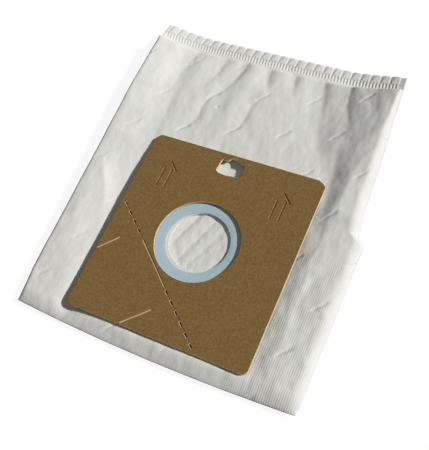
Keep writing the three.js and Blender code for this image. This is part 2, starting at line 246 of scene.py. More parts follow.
@dataclass(frozen=True)
class DashLattice:
    """The quilting marks: short slanting dashes, pressed through the cloth on a skewed lattice."""

    origin: Point = (24.2, 56.8)
    step: Point = (36.5, 8.5)
    row: Point = (-26.3, 26.0)
    angle: float = math.radians(47.0)
    length: float = 13.5
    taper: Point = (0.2, 0.55)
    steep_wall: float = 1.5
    slow_wall: float = 0.6
    faint_at: float = -90.0
    full_at: float = 0.0
    faintest: float = 0.4

    @property
    def direction(self) -> Point:
        """Unit vector along a dash."""
        return math.cos(self.angle), math.sin(self.angle)

    def groove(self, tree: bpy.types.NodeTree, width: float, clear: Triple) -> bpy.types.NodeSocket:
        """Draws the dashes in a shader: 1 on a dash, 0 away from it.

        Args:
            tree: Node tree of the material.
            width: Width of a dash in millimetres.
            clear: Middle and radius of the round field that has no dashes.

        Returns:
            The socket with the mark's strength.
        """
        place = object_point(tree, (1.0 / MM, 1.0 / MM, 0.0))
        moved = add_node(tree, "ShaderNodeVectorMath", {"operation": "SUBTRACT"}, {
            0: place, 1: (*self.origin, 0.0),
        })
        (sx, sy), (rx, ry) = self.step, self.row
        area = sx * ry - sy * rx
        shares = []
        for axis in ((ry / area, -rx / area, 0.0), (-sy / area, sx / area, 0.0)):
            cell = add_node(tree, "ShaderNodeVectorMath", {"operation": "DOT_PRODUCT"}, {
                0: moved.outputs[0], 1: axis,
            })
            wrapped = add_node(tree, "ShaderNodeMath", {"operation": "WRAP"}, {
                0: cell.outputs[1], 1: 0.5, 2: -0.5,
            })
            shares.append(wrapped.outputs[0])
        pair = add_node(tree, "ShaderNodeCombineXYZ", {}, {0: shares[0], 1: shares[1]})
        ux, uy = self.direction
        lengthwise, sideways = (
            add_node(tree, "ShaderNodeVectorMath", {"operation": "DOT_PRODUCT"}, {
                0: pair.outputs[0], 1: (sx * ax + sy * ay, rx * ax + ry * ay, 0.0),
            }) for ax, ay in ((ux, uy), (-uy, ux))
        )
        run = add_node(tree, "ShaderNodeMath", {"operation": "ABSOLUTE"}, {0: lengthwise.outputs[1]})
        past = add_node(tree, "ShaderNodeMath", {"operation": "SUBTRACT"}, {
            0: run.outputs[0], 1: self.length / 2.0,
        })
        excess = add_node(tree, "ShaderNodeMath", {"operation": "MAXIMUM"}, {0: past.outputs[0], 1: 0.0})
        walls = [
            add_node(tree, "ShaderNodeMath", {"operation": "MULTIPLY"}, {0: sideways.outputs[1], 1: factor})
            for factor in (self.steep_wall, -self.slow_wall)
        ]
        offside = add_node(tree, "ShaderNodeMath", {"operation": "MAXIMUM"}, {
            0: walls[0].outputs[0], 1: walls[1].outputs[0],
        })
        offset = add_node(tree, "ShaderNodeCombineXYZ", {}, {0: excess.outputs[0], 1: offside.outputs[0]})
        away = add_node(tree, "ShaderNodeVectorMath", {"operation": "LENGTH"}, {0: offset.outputs[0]})
        mark = add_node(tree, "ShaderNodeMapRange", {"interpolation_type": "SMOOTHSTEP"}, {
            0: away.outputs[1], 1: 0.0, 2: width / 2.0, 3: 1.0, 4: 0.0,
        })
        from_clear = add_node(tree, "ShaderNodeVectorMath", {"operation": "DISTANCE"}, {
            0: place, 1: (clear[0], clear[1], 0.0),
        })
        outside = add_node(tree, "ShaderNodeMath", {"operation": "GREATER_THAN"}, {
            0: from_clear.outputs[1], 1: clear[2],
        })
        ends = add_node(tree, "ShaderNodeMapRange", {"interpolation_type": "SMOOTHSTEP"}, {
            0: run.outputs[0], 1: self.taper[0] * self.length, 2: self.taper[1] * self.length, 3: 1.0, 4: 0.0,
        })
        across = add_node(tree, "ShaderNodeSeparateXYZ", {}, {0: place})
        pressed = add_node(tree, "ShaderNodeMapRange", {}, {
            0: across.outputs[0], 1: self.faint_at, 2: self.full_at, 3: self.faintest, 4: 1.0,
        })
        strength = mark.outputs[0]
        for share in (outside, ends, pressed):
            product = add_node(tree, "ShaderNodeMath", {"operation": "MULTIPLY"}, {
                0: strength, 1: share.outputs[0],
            })
            strength = product.outputs[0]
        return strength


@dataclass(frozen=True)
class PointBondedFleece:
    """Polypropylene non-woven, laid as a thick web of fibres: a soft, matt, off-white cloth."""

    light: str = "#DFE1DB"
    shade: str = "#D8D4CF"
    # The web is a little thicker and thinner in clouds of two or three centimetres
    cloud_size: float = 24.0
    # Fibres of about 0.03 mm can't show, so the felt is drawn as tufts that just do
    fibre_size: float = 1.6
    fibre_depth: float = 0.07
    # The rows of bonding points lie 0.7 mm apart, and are drawn at twice that so that they show
    row_pitch: float = 1.4
    row_depth: float = 0.03
    row_fade: Point = (40.0, 75.0)
    row_end: Point = (-40.0, 20.0)
    faintest_rows: Point = (0.15, 0.25)
    crumple_size: float = 5.0
    crumple_depth: float = 0.2
    longer: float = 0.6
    roughness: float = 0.95
    dash_width: float = 3.0
    dash_depth: float = 0.36
    # Middle and radius of the round field at the inlet that has no dashes
    inlet: Triple = (3.0, -42.5, 24.0)
    lattice: DashLattice = field(default_factory=DashLattice)

    def material(self) -> bpy.types.Material:
        """Builds the cloth: clouds of slightly uneven thickness, felted fibres and faint rolled rows.

        Returns:
            The material of the bag.
        """
        material, tree = empty_material("non_woven_fleece")
        clouds = add_node(tree, "ShaderNodeTexNoise", {}, {
            "Vector": object_point(tree, cells(self.cloud_size)), "Scale": 1.0, "Detail": 4.0, "Roughness": 0.6,
        })
        colour = add_node(tree, "ShaderNodeMix", {"data_type": "RGBA"}, {
            0: clouds.outputs[0], 6: linear_colour(self.shade), 7: linear_colour(self.light),
        })
        fibres = add_node(tree, "ShaderNodeTexNoise", {}, {
            "Vector": object_point(tree, cells(self.fibre_size, self.longer)),
            "Scale": 1.0, "Detail": 3.0, "Roughness": 0.6, "Distortion": 0.6,
        })
        crumples = add_node(tree, "ShaderNodeTexNoise", {}, {
            "Vector": object_point(tree, cells(self.crumple_size, self.longer)),
            "Scale": 1.0, "Detail": 2.0, "Roughness": 0.5,
        })
        slack = add_node(tree, "ShaderNodeBump", {}, {
            "Strength": 1.0, "Distance": self.crumple_depth * MM, "Height": crumples.outputs[0],
        })
        felt = add_node(tree, "ShaderNodeBump", {}, {
            "Strength": 1.0, "Distance": self.fibre_depth * MM, "Height": fibres.outputs[0],
            "Normal": slack.outputs[0],
        })
        turns = 2.0 * math.pi / (self.row_pitch * MM)
        place = add_node(tree, "ShaderNodeSeparateXYZ", {}, {0: object_point(tree, (turns, turns, turns))})
        rows = add_node(tree, "ShaderNodeMath", {"operation": "SINE"}, {0: place.outputs[0]})
        spread = add_node(tree, "ShaderNodeMapRange", {}, {
            0: place.outputs[0], 1: self.row_fade[0] * MM * turns, 2: self.row_fade[1] * MM * turns,
            3: self.faintest_rows[0], 4: 1.0,
        })
        low = add_node(tree, "ShaderNodeMapRange", {}, {
            0: place.outputs[1], 1: self.row_end[0] * MM * turns, 2: self.row_end[1] * MM * turns,
            3: 1.0, 4: self.faintest_rows[1],
        })
        field_of_rows = add_node(tree, "ShaderNodeMath", {"operation": "MULTIPLY"}, {
            0: low.outputs[0], 1: spread.outputs[0],
        })
        faded = add_node(tree, "ShaderNodeMath", {"operation": "MULTIPLY"}, {
            0: rows.outputs[0], 1: field_of_rows.outputs[0],
        })
        rolled = add_node(tree, "ShaderNodeBump", {}, {
            "Strength": 1.0, "Distance": self.row_depth * MM, "Height": faded.outputs[0],
            "Normal": felt.outputs[0],
        })
        quilted = add_node(tree, "ShaderNodeBump", {"invert": True}, {
            "Strength": 1.0, "Distance": self.dash_depth * MM,
            "Height": self.lattice.groove(tree, self.dash_width, self.inlet), "Normal": rolled.outputs[0],
        })
        shader = add_node(tree, "ShaderNodeBsdfPrincipled", {}, {
            "Base Color": colour.outputs[2], "Roughness": self.roughness, "Specular IOR Level": 0.2,
            "Sheen Weight": 0.15, "Sheen Roughness": 0.6, "Normal": quilted.outputs[0],
        })
        add_node(tree, "ShaderNodeOutputMaterial", {}, {"Surface": shader.outputs[0]})
        return material


@dataclass(frozen=True)
class KraftBoard:
    """Unbleached kraft cardboard, pressed smooth: brown with darker and paler fibre flecks."""

    brown: str = "#81653C"
    dark: str = "#725732"
    fleck: str = "#8F7347"
    stops: Triple = (0.32, 0.5, 0.70)
    fleck_size: float = 1.5
    # Paper fibres of 0.2 mm can't show, so the grain is drawn as coarse as it needs to
    grain_size: float = 0.9
    grain_depth: float = 0.03
    roughness: float = 0.9

    def material(self) -> bpy.types.Material:
        """Builds the board's face: mottled brown with a fine paper grain.

        Returns:
            The material of the card's two faces.
        """
        material, tree = empty_material("kraft_board")
        flecks = add_node(tree, "ShaderNodeTexNoise", {}, {
            "Vector": object_point(tree, cells(self.fleck_size)), "Scale": 1.0, "Detail": 5.0, "Roughness": 0.7,
        })
        ramp = add_node(tree, "ShaderNodeValToRGB", {}, {"Fac": flecks.outputs[0]})
        colours = ramp.color_ramp.elements
        colours[0].position, colours[0].color = self.stops[0], linear_colour(self.dark)
        colours[1].position, colours[1].color = self.stops[2], linear_colour(self.fleck)
        colours.new(self.stops[1]).color = linear_colour(self.brown)
        grain = add_node(tree, "ShaderNodeTexNoise", {}, {
            "Vector": object_point(tree, cells(self.grain_size)), "Scale": 1.0, "Detail": 3.0,
        })
        relief = add_node(tree, "ShaderNodeBump", {}, {
            "Strength": 1.0, "Distance": self.grain_depth * MM, "Height": grain.outputs[0],
        })
        shader = add_node(tree, "ShaderNodeBsdfPrincipled", {}, {
            "Base Color": ramp.outputs[0], "Roughness": self.roughness, "Specular IOR Level": 0.15,
            "Normal": relief.outputs[0],
        })
        add_node(tree, "ShaderNodeOutputMaterial", {}, {"Surface": shader.outputs[0]})
        return material


@dataclass(frozen=True)
class CutBoardEdge:
    """The raw cut through the board: cream pulp with layers that show as faint streaks."""

    cream: str = "#E2CDA6"
    streak: str = "#B79B6E"
    streak_length: float = 3.0
    # The board is pressed from layers of about 0.4 mm
    layer_pitch: float = 0.4
    roughness: float = 0.9

    def material(self) -> bpy.types.Material:
        """Builds the cut edge: cream pulp, streaked along the board's layers.

        Returns:
            The material of the card's cut walls and bared scores.
        """
        material, tree = empty_material("cut_board_edge")
        across = 1.0 / (self.streak_length * MM)
        through = 1.0 / (self.layer_pitch * MM)
        layers = add_node(tree, "ShaderNodeTexNoise", {}, {
            "Vector": object_point(tree, (across, across, through)), "Scale": 1.0, "Detail": 3.0,
        })
        colour = add_node(tree, "ShaderNodeMix", {"data_type": "RGBA"}, {
            0: layers.outputs[0], 6: linear_colour(self.streak), 7: linear_colour(self.cream),
        })
        shader = add_node(tree, "ShaderNodeBsdfPrincipled", {}, {
            "Base Color": colour.outputs[2], "Roughness": self.roughness, "Specular IOR Level": 0.2,
        })
        add_node(tree, "ShaderNodeOutputMaterial", {}, {"Surface": shader.outputs[0]})
        return material


@dataclass(frozen=True)
class SealFoam:
    """Closed-cell foam film of the seal ring: pale blue, smooth, with a satin skin."""

    blue: str = "#A9BEC7"
    pale: str = "#B4C6CC"
    # Foam cells of 0.3 mm can't show one by one, so they are drawn as their clouds
    cloud_size: float = 3.0
    relief_depth: float = 0.04
    roughness: float = 0.5

    def material(self) -> bpy.types.Material:
        """Builds the foam skin: pale blue with faint clouds and a shallow orange-peel relief.

        Returns:
            The material of the ring.
        """
        material, tree = empty_material("seal_foam")
        clouds = add_node(tree, "ShaderNodeTexNoise", {}, {
            "Vector": object_point(tree, cells(self.cloud_size)), "Scale": 1.0, "Detail": 4.0,
        })
        colour = add_node(tree, "ShaderNodeMix", {"data_type": "RGBA"}, {
            0: clouds.outputs[0], 6: linear_colour(self.blue), 7: linear_colour(self.pale),
        })
        relief = add_node(tree, "ShaderNodeBump", {}, {
            "Strength": 1.0, "Distance": self.relief_depth * MM, "Height": clouds.outputs[0],
        })
        shader = add_node(tree, "ShaderNodeBsdfPrincipled", {}, {
            "Base Color": colour.outputs[2], "Roughness": self.roughness, "Specular IOR Level": 0.35,
            "Normal": relief.outputs[0],
        })
        add_node(tree, "ShaderNodeOutputMaterial", {}, {"Surface": shader.outputs[0]})
        return material


@dataclass(frozen=True)
class StudioGround:
    """Matt white paper under the object, which the camera sees as plain white but for the soft shadow."""

    paper: str = "#606060"
    glow: float = 0.907

    def material(self) -> bpy.types.Material:
        """Builds the ground: pale paper, brightened only for what looks at it straight or in a reflection.

        Returns:
            The material of the floor.
        """
        material, tree = empty_material("studio_ground")
        paper = add_node(tree, "ShaderNodeBsdfDiffuse", {}, {"Color": linear_colour(self.paper)})
        path = add_node(tree, "ShaderNodeLightPath", {}, {})
        seen = add_node(tree, "ShaderNodeMath", {"operation": "MAXIMUM"}, {
            0: path.outputs["Is Camera Ray"], 1: path.outputs["Is Glossy Ray"],
        })
        looked_at = add_node(tree, "ShaderNodeMath", {"operation": "MAXIMUM"}, {
            0: seen.outputs[0], 1: path.outputs["Is Transmission Ray"],
        })
        strength = add_node(tree, "ShaderNodeMath", {"operation": "MULTIPLY"}, {
            0: looked_at.outputs[0], 1: self.glow,
        })
        glow = add_node(tree, "ShaderNodeEmission", {}, {
            "Color": linear_colour("#FFFFFF"), "Strength": strength.outputs[0],
        })
        both = add_node(tree, "ShaderNodeAddShader", {}, {0: paper.outputs[0], 1: glow.outputs[0]})
        add_node(tree, "ShaderNodeOutputMaterial", {}, {"Surface": both.outputs[0]})
        return material


def mark_sharp_edges(body: bmesh.types.BMesh, limit: float) -> None:
    """Shades a mesh smooth, apart from the edges that turn more sharply than the limit.

    Args:
        body: Mesh to shade.
        limit: Largest smooth angle, in radians.
    """
    for face in body.faces:
        face.smooth = True
    for edge in body.edges:
        edge.smooth = edge.calc_face_angle(0.0) < limit


def finish_piece(body: bmesh.types.BMesh, name: str, materials: list[bpy.types.Material]) -> bpy.types.Object:
    """Turns a mesh in millimetres into an object at the origin.

    Args:
        body: Mesh in millimetres; it is freed.
        name: Name of the piece.
        materials: Its materials, in the order of the faces' material numbers.

    Returns:
        The new object, linked to the scene.
    """
    bmesh.ops.scale(body, vec=(MM, MM, MM), verts=body.verts)
    mesh = bpy.data.meshes.new(name)
    body.to_mesh(mesh)
    body.free()
    for material in materials:
        mesh.materials.append(material)
    piece = bpy.data.objects.new(name, mesh)
    bpy.context.scene.collection.objects.link(piece)
    return piece


def box_mm(node: str) -> tuple[Vector, Vector]:
    """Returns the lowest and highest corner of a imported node, in millimetres."""
    low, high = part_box(node)
    return low / MM, high / MM


@dataclass
class BagForm:
    """Heights of the two panels over the ground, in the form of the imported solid."""

    length: float = 250.5
    width: float = 208.8
    ply: float = 0.8
    full_thickness: float = 6.0
    fold_height: float = 3.2
    bow: float = 3.5
    bow_fade: float = 60.0
    seam_length: float = 13.0
    card_x: float = 3.0
    seat_radius: float = 36.5
    seat_slope: float = 10.0
    left_curl: float = 7.5
    left_curl_reach: float = 38.0
    right_curl: float = 8.0
    right_curl_reach: float = 42.0
    curl_power: float = 1.5
    curl_start: float = 100.0
    seam_rise: float = 1.6
    seam_taper: float = 58.0
    gather_pitch: float = 21.3
    gather_height: float = 0.2
    gather_phase: float = -2.0
    gather_rise: Point = (62.0, 18.0)
    gather_fall: Point = (8.0, 1.0)
    hollow_depth: float = 2.0
    hollow_spread: float = 13.0
    shares: tuple[float, ...] = (
        0.0, 0.05, 0.11, 0.27, 0.43, 0.476, 0.490, 0.50, 0.54, 0.59, 0.69, 0.75, 0.83, 0.91, 1.0,
    )
    left_insets: tuple[float, ...] = (
        6.3, 5.7, 4.1, 3.1, 1.9, 1.7, 1.6, 1.5, 1.3, 1.0, 0.7, 0.5, 1.3, 2.3, 4.6,
    )
    right_insets: tuple[float, ...] = (
        2.1, 1.1, 1.3, 0.4, 0.1, 0.3, 4.8, 5.4, 6.3, 7.5, 8.3, 9.0, 10.3, 11.2, 12.5,
    )
    left_shelf: Shelf = (
        (-125, -66, -80, 0.2), (-90, -66, -86, 1.3), (-60, -65, -90, 3.8), (-20, -64, -96, 6.0),
        (20, -64, -98, 5.2), (60, -68, -98, 4.4), (90, -74, -98, 3.0), (113, -78, -98, 2.5),
    )
    right_shelf: Shelf = (
        (-125, 66, 78, 1.0), (-105, 66, 80, 2.3), (-50, 66, 79, 3.4), (0, 66, 78, 3.8), (20, 65, 80, 4.0),
        (40, 58, 82, 4.4), (60, 46, 84, 4.9), (80, 36, 85, 5.4), (100, 30, 85, 5.2), (113, 28, 85, 4.2),
    )
    left_dip: Crest = ((-59, -45, -0.4, 5), (-60, -78, -2.0, 6), (-61, -112, -3.4, 7))
    under_card: tuple[Shelf, ...] = (
        ((-125, -45, -61, 0.0), (-90, -45, -61, 0.4), (-50, -45, -61, 2.2), (-20, -45, -61, 2.8),
         (5, -45, -61, 1.6), (22, -45, -61, 0.0), (113, -45, -61, 0.0)),
        ((-125, 46, 63, 0.0), (-108, 46, 63, 0.8), (-50, 46, 63, 1.5), (-5, 46, 63, 1.5),
         (12, 46, 63, 0.6), (22, 46, 63, 0.0), (113, 46, 63, 0.0)),
    )
    corner_dip: Crest = ((66, 48, -0.8, 8), (71, 22, -1.4, 6), (73, -2, -0.6, 5))
    bottom_swell: Crest = (
        (-46, -115.5, 0.1, 5), (-24, -115.5, 0.8, 5), (40, -115.5, 1.0, 5), (58, -115.0, 1.1, 5),
        (70, -114.0, 0.3, 5),
    )
    seam_folds: tuple[Crest, ...] = (
        ((-60, 100, 0.5, 8), (-58, 60, 0.6, 9), (-55, 40, 0.2, 9)),
        ((-16, 104, 0.5, 6), (-17, 80, 0.5, 8), (-20, 55, 0.4, 8)),
    )
    notch: Point = (1.5, 17.0)
    inlet_y: float = -42.5
    seam_puff: float = 4.1
    shoulder: float = 4.0
    creases: tuple[Crest, ...] = (
        ((-67, 114, 2.3, 5), (-70, 97, 1.7, 6), (-74, 80, 1.0, 8), (-74, 62, 0.1, 9)),
        ((-56, 112, 0.5, 2), (-57, 104, 0.1, 2)),
        ((-43, 114, 2.6, 4.5), (-45.5, 94, 1.8, 5.5), (-48, 80, 0.2, 7)),
        ((-26, 115, 2.7, 3.5), (-27, 103, 2.3, 4), (-30, 88, 1.3, 4.5), (-36, 77, 1.1, 3), (-41.5, 71, 0.9, 2.5),
         (-43, 61, 1.2, 3), (-42.2, 51, 1.1, 3), (-45.5, 43, 0.8, 2.5), (-52, 36, 0.1, 2)),
        ((-8, 115, 2.7, 4), (-6, 100, 2.1, 4.5), (-1, 86, 0.3, 5)),
        ((-5, 79, 0.4, 2), (-7.3, 73, 0.9, 2.5), (-8, 58, 0.9, 2.5), (-8.5, 52, 0.6, 2), (-17, 43.5, 0.1, 2)),
        ((12.5, 115, 2.7, 4), (14, 104, 2.3, 4), (18, 88, 0.2, 6)),
        ((34.5, 115, 3.0, 5), (37, 104, 2.8, 6), (40, 94, 2.4, 7), (42.5, 78, 1.7, 8), (46, 64, 1.2, 9),
         (54, 51, 0.6, 9), (62, 40, 0.1, 9)),
        ((55.5, 114, 1.6, 4), (57, 104, 1.9, 4.5), (59, 92, 1.7, 4.5), (63.5, 80, 1.3, 4.5), (65.5, 70, 0.9, 5),
         (66, 53, 0.5, 5), (68, 36, 0.2, 5)),
        ((74, 113, 0.7, 4), (78, 95, 0.7, 5), (85, 78, 0.2, 6)),
        ((80, 8, 0.1, 3), (77, -4, 0.5, 4), (76, -22, 0.6, 4), (80, -36, 0.1, 4)),
        ((90, -30, 0.1, 4), (84, -42, 0.5, 4), (80, -58, 0.5, 4), (82, -70, 0.1, 4)),
        ((68.5, -108, -0.3, 1.5), (68.5, -122, -0.3, 1.5)),
        ((-93, -3, -0.3, 3), (-88, -12, -1.3, 4), (-81, -24, -1.3, 5), (-76, -36, -0.8, 6), (-73, -48, -0.2, 6)),
    )
    pits: tuple[Crest, ...] = (
        ((-31.3, 64.4, -0.6, 1.0), (-31.3, 64.6, -0.6, 1.0)),
    )
    floor_plies: float = 2.1
    floor_spare: float = 0.3
    wrinkle: float = 0.42
    wrinkle_size: float = 13.0
    wrinkle_stretch: float = 0.6
    wrinkled_from: float = 60.0
    wrinkled_over: float = 15.0
    wrinkled_more: float = 0.4

    @property
    def bottom(self) -> float:
        """Place of the bottom fold along the bag."""
        return -self.length / 2.0

    @property
    def seam(self) -> float:
        """Place where the welded strip starts."""
        return self.length / 2.0 - self.seam_length

    def sides(self, y: Array) -> tuple[Array, Array]:
        """Finds the bag's left and right outline.

        Args:
            y: Places along the bag.

        Returns:
            The left and the right edge there, on a curve through the stations.
        """
        knots = self.bottom + np.array(self.shares) * self.length
        left = -self.width / 2.0 + np.array(self.left_insets)
        right = self.width / 2.0 - np.array(self.right_insets)
        return hermite(knots, left, y), hermite(knots, right, y)

    def lift(self, x: Array, y: Array) -> Array:
        """Finds the height of the back panel: flat, but for the seam and the two curled corners.

        Args:
            x: Places across the bag.
            y: Places along the bag.

        Returns:
            The height over the ground at each place.
        """
        left, right = self.sides(y)
        along = smooth(self.seam - self.curl_start, self.length / 2.0, y)
        from_left = np.maximum(0.0, 1.0 - (x - left) / self.left_curl_reach) ** self.curl_power
        from_right = np.maximum(0.0, 1.0 - (right - x) / self.right_curl_reach) ** self.curl_power
        curl = self.left_curl * from_left + self.right_curl * from_right
        return along * curl + self.seam_rise * smooth(self.seam - self.seam_taper, self.seam, y)

    def puff(self, x: Array, y: Array) -> Array:
        """Finds the thickness of the puffed bag, with its swells, gathers, folds and creases.

        Args:
            x: Places across the bag.
            y: Places along the bag.

        Returns:
            The thickness at each place, never less than the two plies.
        """
        toward_seam = smooth(self.seam - self.seam_taper, self.seam - self.shoulder, y)
        rise = smooth(self.seam - self.gather_rise[0], self.seam - self.gather_rise[1], y)
        fall = 1.0 - smooth(self.seam - self.gather_fall[0], self.seam - self.gather_fall[1], y)
        wave = np.cos(2.0 * math.pi * (x - self.gather_phase) / self.gather_pitch)
        gathers = self.gather_height * rise * fall * wave
        crests = (self.left_dip, self.corner_dip, self.bottom_swell, *self.seam_folds, *self.pits)
        folds = sum(crest_height(x, y, crest) for crest in crests) * fall
        folds += shelf_height(x, y, self.left_shelf) + shelf_height(x, y, self.right_shelf)
        folds -= sum(shelf_height(x, y, shelf) for shelf in self.under_card)
        folds -= sum(crease_depth(x, y, crease) for crease in self.creases)
        from_notch = np.hypot(x - self.notch[0], y - self.notch[1])
        hollow = self.hollow_depth * bump(from_notch, self.hollow_spread)
        from_inlet = np.hypot(x - self.card_x, y - self.inlet_y)
        seat = smooth(self.seat_radius, self.seat_radius + self.seat_slope, from_inlet)
        full = mix(self.full_thickness, self.seam_puff, toward_seam)
        puffed = full + seat * (gathers + folds - hollow + self.wrinkle * self.wrinkles(x, y))
        floor = self.floor_plies * self.ply
        resting = floor + self.floor_spare * np.logaddexp(0.0, (puffed - floor) / self.floor_spare)
        return mix(resting, 2.0 * self.ply, smooth(self.seam - self.shoulder, self.seam, y))

    def wrinkles(self, x: Array, y: Array) -> Array:
        """Finds the uneven hang of the cloth, stronger to the right of the card.

        Args:
            x: Places across the bag.
            y: Places along the bag.

        Returns:
            Noise between about -1 and 1 at each place.
        """
        per = 1.0 / self.wrinkle_size
        places = np.column_stack((x.ravel() * per, self.wrinkle_stretch * y.ravel() * per))
        heights = [noise.fractal(Vector((u, v, 0.0)), 1.0, 2.0, 3) for u, v in places]
        right = smooth(self.wrinkled_from, self.wrinkled_from + self.wrinkled_over, x)
        return (1.0 + self.wrinkled_more * right) * np.array(heights).reshape(x.shape)

    def bow_shift(self, x: Array, y: Array) -> Array:
        """Returns how far the bottom fold bows in towards its two ends."""
        fade = 1.0 - smooth(self.bottom, self.bottom + self.bow_fade, y)
        return self.bow * (2.0 * x / self.width) ** 2 * fade


def hermite(knots: Array, values: Array, at: Array) -> Array:
    """Runs a smooth curve through values at knots, with straight ends.

    Args:
        knots: Rising places of the values.
        values: What the curve passes through.
        at: Where to evaluate it.

    Returns:
        The curve's values there.
    """
    slopes = np.empty_like(values)
    slopes[1:-1] = (values[2:] - values[:-2]) / (knots[2:] - knots[:-2])
    first = (values[1] - values[0]) / (knots[1] - knots[0])
    last = (values[-1] - values[-2]) / (knots[-1] - knots[-2])
    slopes[0] = (3.0 * first - slopes[1]) / 2.0
    slopes[-1] = (3.0 * last - slopes[-2]) / 2.0
    k = np.clip(np.searchsorted(knots, at) - 1, 0, len(knots) - 2)
    span = knots[k + 1] - knots[k]
    t = (at - knots[k]) / span
    start = (1.0 + 2.0 * t) * (1.0 - t) ** 2 * values[k] + t * (1.0 - t) ** 2 * span * slopes[k]
    end = t * t * (3.0 - 2.0 * t) * values[k + 1] + t * t * (t - 1.0) * span * slopes[k + 1]
    return start + end


def crest_height(x: Array, y: Array, crest: Crest) -> Array:
    """Finds the height that one crest adds: most on its line, less with the distance from it.

    Args:
        x: Places across the bag.
        y: Places along the bag.
        crest: Points on the crest, each with its height and its spread.

    Returns:
        The added height at each place.
    """
    most = np.zeros_like(x)
    for (x0, y0, height0, spread0), (x1, y1, height1, spread1) in zip(crest, crest[1:]):
        run = (x1 - x0) ** 2 + (y1 - y0) ** 2
        share = np.clip(((x - x0) * (x1 - x0) + (y - y0) * (y1 - y0)) / run, 0.0, 1.0)
        distance = np.hypot(x - mix(x0, x1, share), y - mix(y0, y1, share))
        added = mix(height0, height1, share) * bump(distance, mix(spread0, spread1, share))
        most = np.where(np.abs(added) > np.abs(most), added, most)
    return most


def shelf_height(x: Array, y: Array, shelf: Shelf) -> Array:
    """Finds the height of a shelf that rises towards one side of the bag.

    Args:
        x: Places across the bag.
        y: Places along the bag.
        shelf: Rows of a place along the bag, where the rise starts and ends across it, and its height.

    Returns:
        The added height at each place.
    """
    rows = np.array(shelf, dtype=float)
    along = np.clip(y, rows[0, 0], rows[-1, 0])
    start, end, rise = (hermite(rows[:, 0], rows[:, column], along) for column in (1, 2, 3))
    share = np.clip((x - start) / (end - start), 0.0, 1.0)
    straight = 0.6
    return rise * mix(smooth(0.0, 1.0, share), share, straight)


def crease_depth(x: Array, y: Array, crease: Crest) -> Array:
    """Finds how deep a crease is drawn in: sharp on its line, steep on its right and slow on its left.

    Args:
        x: Places across the bag.
        y: Places along the bag.
        crease: Points on the crease, each with its depth and its reach.

    Returns:
        The depth at each place.
    """
    steep, slow, softness = 0.85, 1.9, 0.22
    most = np.zeros_like(x)
    for (x0, y0, depth0, reach0), (x1, y1, depth1, reach1) in zip(crease, crease[1:]):
        run = (x1 - x0) ** 2 + (y1 - y0) ** 2
        share = np.clip(((x - x0) * (x1 - x0) + (y - y0) * (y1 - y0)) / run, 0.0, 1.0)
        off_x = x - mix(x0, x1, share)
        away = np.hypot(off_x, y - mix(y0, y1, share))
        turn = 0.5 + 0.5 * off_x / (away + 1e-6)
        width = mix(reach0, reach1, share)
        reach = width * mix(slow, steep, turn)
        near = np.hypot(away, softness * width) - softness * width
        added = mix(depth0, depth1, share) * np.exp(-near / reach)
        most = np.where(np.abs(added) > np.abs(most), added, most)
    return most


